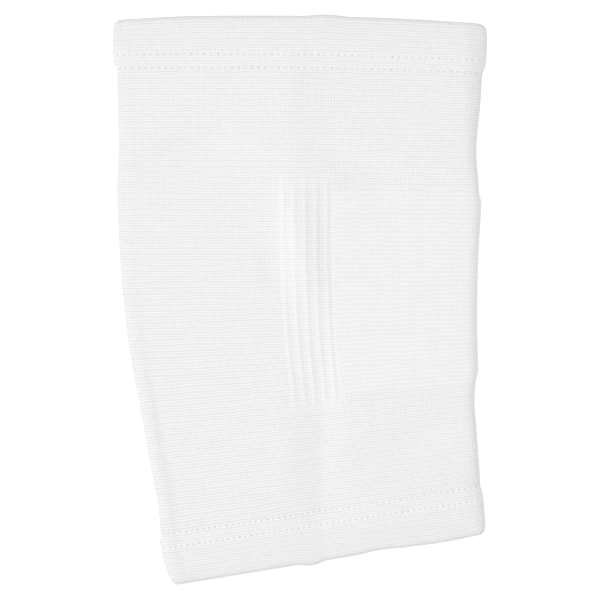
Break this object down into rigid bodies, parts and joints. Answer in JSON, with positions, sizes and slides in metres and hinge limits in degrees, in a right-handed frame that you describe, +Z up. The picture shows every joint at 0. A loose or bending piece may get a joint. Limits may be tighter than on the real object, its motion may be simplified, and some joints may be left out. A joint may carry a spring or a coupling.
{
  "type": "knee support",
  "caption": "Elastic knitted knee support lying flat: a tapering open-ended tube with a doubled stitched hem at each end and a smooth knee panel edged by raised rib bands.",
  "frame": {"origin": "centre of the bounding box, on the surface it lies on", "axes": "+X across the flat tube towards the side with the knee panel, +Y along the tube towards the thigh hem, +Z up from the surface"},
  "size_m": [0.1758, 0.2666, 0.0152],
  "materials": {
    "body_knit": "matt white elastic knit with fine courses",
    "panel_knit": "smoother white elastic knit",
    "rib_knit": "matt white elastic knit in raised ribs",
    "hem_knit": "matt white elastic knit, doubled and sewn with white thread"
  },
  "bodies": {
    "root": {"sleeve": "body_knit", "knee_panel": "panel_knit", "near_rib_band": "rib_knit", "far_rib_band": "rib_knit", "thigh_hem": "hem_knit", "calf_hem": "hem_knit"}
  },
  "joints": []
}
